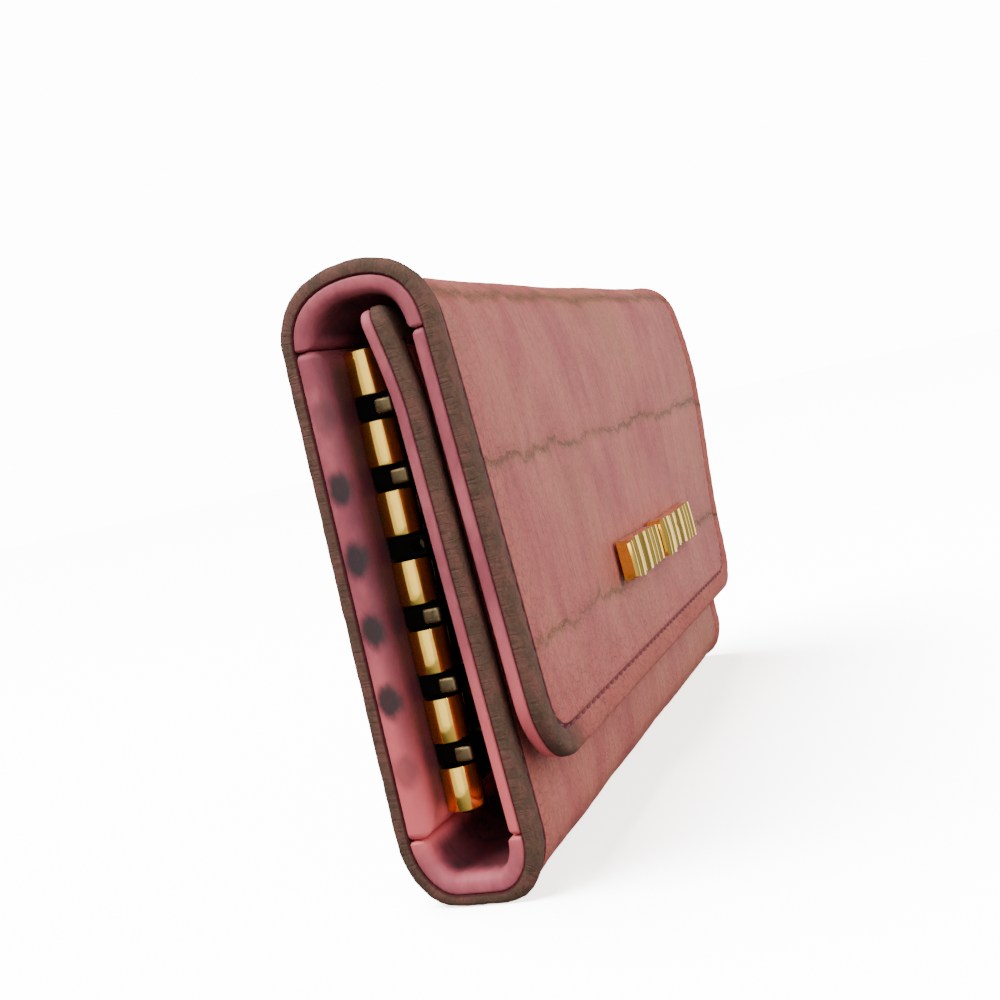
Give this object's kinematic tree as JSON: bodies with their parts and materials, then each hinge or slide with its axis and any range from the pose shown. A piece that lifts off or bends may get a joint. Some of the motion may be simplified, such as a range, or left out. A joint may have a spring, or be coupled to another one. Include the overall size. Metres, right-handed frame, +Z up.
{
  "type": "key case",
  "caption": "Folding leather key case standing on its bottom fold: hook rack at the open end, swivel hooks, stiff lined panels, snap-down flap with a ribbed metal bow.",
  "frame": {"origin": "bottom centre of the whole object's box, on the surface it stands on", "axes": "+X along the case away from the hook rack, -Y out of the flap's face, +Z up from the bottom fold to the top fold"},
  "size_m": [0.105, 0.0218, 0.068],
  "materials": {
    "rose_leather": "dusty rose pressed-grain leather, worn brown at the edges, with brown crease lines along the length",
    "pink_lining": "smooth pink lining leather, dull sheen, soot-grey rub marks by the hooks",
    "stiffener_board": "pressed paper board, matt",
    "polished_gold": "polished gold plate",
    "dark_steel": "dark tarnished steel"
  },
  "bodies": {
    "case_back": {"back_outer_leather": "rose_leather", "back_board": "stiffener_board", "back_lining": "pink_lining", "bottom_fold_outer_leather": "rose_leather", "bottom_fold_lining": "pink_lining", "rack_plate": "polished_gold", "rack_rod": "dark_steel", "rack_rivet_lower": "polished_gold", "rack_rivet_upper": "polished_gold", "rack_washer_lower": "dark_steel", "rack_washer_upper": "dark_steel"},
    "top_fold": {"top_fold_outer_leather": "rose_leather", "top_fold_lining": "pink_lining"},
    "flap": {"flap_outer_leather": "rose_leather", "flap_board": "stiffener_board", "flap_lining": "pink_lining", "snap_cap": "dark_steel", "snap_socket": "polished_gold", "bow_wing_near": "polished_gold", "bow_wing_far": "polished_gold", "bow_knot": "polished_gold", "bow_prong_near": "polished_gold", "bow_prong_far": "polished_gold", "bow_washer_near": "dark_steel", "bow_washer_far": "dark_steel"},
    "front_panel": {"front_outer_leather": "rose_leather", "front_board": "stiffener_board", "front_lining": "pink_lining", "snap_stud": "polished_gold", "snap_post": "dark_steel"},
    "link_1": {"hook_link_1": "dark_steel"},
    "hook_1": {"hook_1": "polished_gold"},
    "gate_1": {"hook_gate_1": "polished_gold"},
    "link_2": {"hook_link_2": "dark_steel"},
    "hook_2": {"hook_2": "polished_gold"},
    "gate_2": {"hook_gate_2": "polished_gold"},
    "link_3": {"hook_link_3": "dark_steel"},
    "hook_3": {"hook_3": "polished_gold"},
    "gate_3": {"hook_gate_3": "polished_gold"},
    "link_4": {"hook_link_4": "dark_steel"},
    "hook_4": {"hook_4": "polished_gold"},
    "gate_4": {"hook_gate_4": "polished_gold"},
    "link_5": {"hook_link_5": "dark_steel"},
    "hook_5": {"hook_5": "polished_gold"},
    "gate_5": {"hook_gate_5": "polished_gold"},
    "link_6": {"hook_link_6": "dark_steel"},
    "hook_6": {"hook_6": "polished_gold"},
    "gate_6": {"hook_gate_6": "polished_gold"}
  },
  "joints": [
    {"name": "top_fold_hinge", "type": "hinge", "parent": "case_back", "child": "top_fold", "pos_m": [0, 0.01091, 0.06045], "axis": [-1, 0, 0], "range_deg": [0, 90]},
    {"name": "flap_hinge", "type": "hinge", "parent": "top_fold", "child": "flap", "pos_m": [0, -0.00658, 0.06005], "axis": [-1, 0, 0], "range_deg": [0, 90]},
    {"name": "front_panel_hinge", "type": "hinge", "parent": "case_back", "child": "front_panel", "pos_m": [0, -0.00465, 0.0072], "axis": [1, 0, 0], "range_deg": [0, 14]},
    {"name": "hook_1_swing", "type": "hinge", "parent": "case_back", "child": "link_1", "pos_m": [-0.0462, 0.00481, 0.0152], "axis": [0, 0, 1], "range_deg": [-1.5, 1.5]},
    {"name": "hook_1_swivel", "type": "hinge", "parent": "link_1", "child": "hook_1", "pos_m": [-0.0415, 0.00297, 0.0152], "axis": [1, 0, 0], "continuous": true},
    {"name": "hook_1_gate", "type": "hinge", "parent": "hook_1", "child": "gate_1", "pos_m": [-0.038, 0.00297, 0.01698], "axis": [0, 1, 0], "range_deg": [0, 10], "stiffness_Nm_per_rad": 0.0004, "springref_deg": -11.46},
    {"name": "hook_2_swing", "type": "hinge", "parent": "case_back", "child": "link_2", "pos_m": [-0.0462, 0.00481, 0.02284], "axis": [0, 0, 1], "range_deg": [-1.5, 1.5]},
    {"name": "hook_2_swivel", "type": "hinge", "parent": "link_2", "child": "hook_2", "pos_m": [-0.0415, 0.00297, 0.02284], "axis": [1, 0, 0], "continuous": true},
    {"name": "hook_2_gate", "type": "hinge", "parent": "hook_2", "child": "gate_2", "pos_m": [-0.038, 0.00297, 0.02462], "axis": [0, 1, 0], "range_deg": [0, 10], "stiffness_Nm_per_rad": 0.0004, "springref_deg": -11.46},
    {"name": "hook_3_swing", "type": "hinge", "parent": "case_back", "child": "link_3", "pos_m": [-0.0462, 0.00481, 0.03048], "axis": [0, 0, 1], "range_deg": [-1.5, 1.5]},
    {"name": "hook_3_swivel", "type": "hinge", "parent": "link_3", "child": "hook_3", "pos_m": [-0.0415, 0.00297, 0.03048], "axis": [1, 0, 0], "continuous": true},
    {"name": "hook_3_gate", "type": "hinge", "parent": "hook_3", "child": "gate_3", "pos_m": [-0.038, 0.00297, 0.03225], "axis": [0, 1, 0], "range_deg": [0, 10], "stiffness_Nm_per_rad": 0.0004, "springref_deg": -11.46},
    {"name": "hook_4_swing", "type": "hinge", "parent": "case_back", "child": "link_4", "pos_m": [-0.0462, 0.00481, 0.03812], "axis": [0, 0, 1], "range_deg": [-1.5, 1.5]},
    {"name": "hook_4_swivel", "type": "hinge", "parent": "link_4", "child": "hook_4", "pos_m": [-0.0415, 0.00297, 0.03812], "axis": [1, 0, 0], "continuous": true},
    {"name": "hook_4_gate", "type": "hinge", "parent": "hook_4", "child": "gate_4", "pos_m": [-0.038, 0.00297, 0.03989], "axis": [0, 1, 0], "range_deg": [0, 10], "stiffness_Nm_per_rad": 0.0004, "springref_deg": -11.46},
    {"name": "hook_5_swing", "type": "hinge", "parent": "case_back", "child": "link_5", "pos_m": [-0.0462, 0.00481, 0.04576], "axis": [0, 0, 1], "range_deg": [-1.5, 1.5]},
    {"name": "hook_5_swivel", "type": "hinge", "parent": "link_5", "child": "hook_5", "pos_m": [-0.0415, 0.00297, 0.04576], "axis": [1, 0, 0], "continuous": true},
    {"name": "hook_5_gate", "type": "hinge", "parent": "hook_5", "child": "gate_5", "pos_m": [-0.038, 0.00297, 0.04754], "axis": [0, 1, 0], "range_deg": [0, 10], "stiffness_Nm_per_rad": 0.0004, "springref_deg": -11.46},
    {"name": "hook_6_swing", "type": "hinge", "parent": "case_back", "child": "link_6", "pos_m": [-0.0462, 0.00481, 0.0534], "axis": [0, 0, 1], "range_deg": [-1.5, 1.5]},
    {"name": "hook_6_swivel", "type": "hinge", "parent": "link_6", "child": "hook_6", "pos_m": [-0.0415, 0.00297, 0.0534], "axis": [1, 0, 0], "continuous": true},
    {"name": "hook_6_gate", "type": "hinge", "parent": "hook_6", "child": "gate_6", "pos_m": [-0.038, 0.00297, 0.05518], "axis": [0, 1, 0], "range_deg": [0, 10], "stiffness_Nm_per_rad": 0.0004, "springref_deg": -11.46}
  ],
  "couplings": [
    {"joint": "flap_hinge", "follows": "top_fold_hinge", "ratio": 1},
    {"joint": "front_panel_hinge", "follows": "top_fold_hinge", "ratio": 0.15}
  ]
}
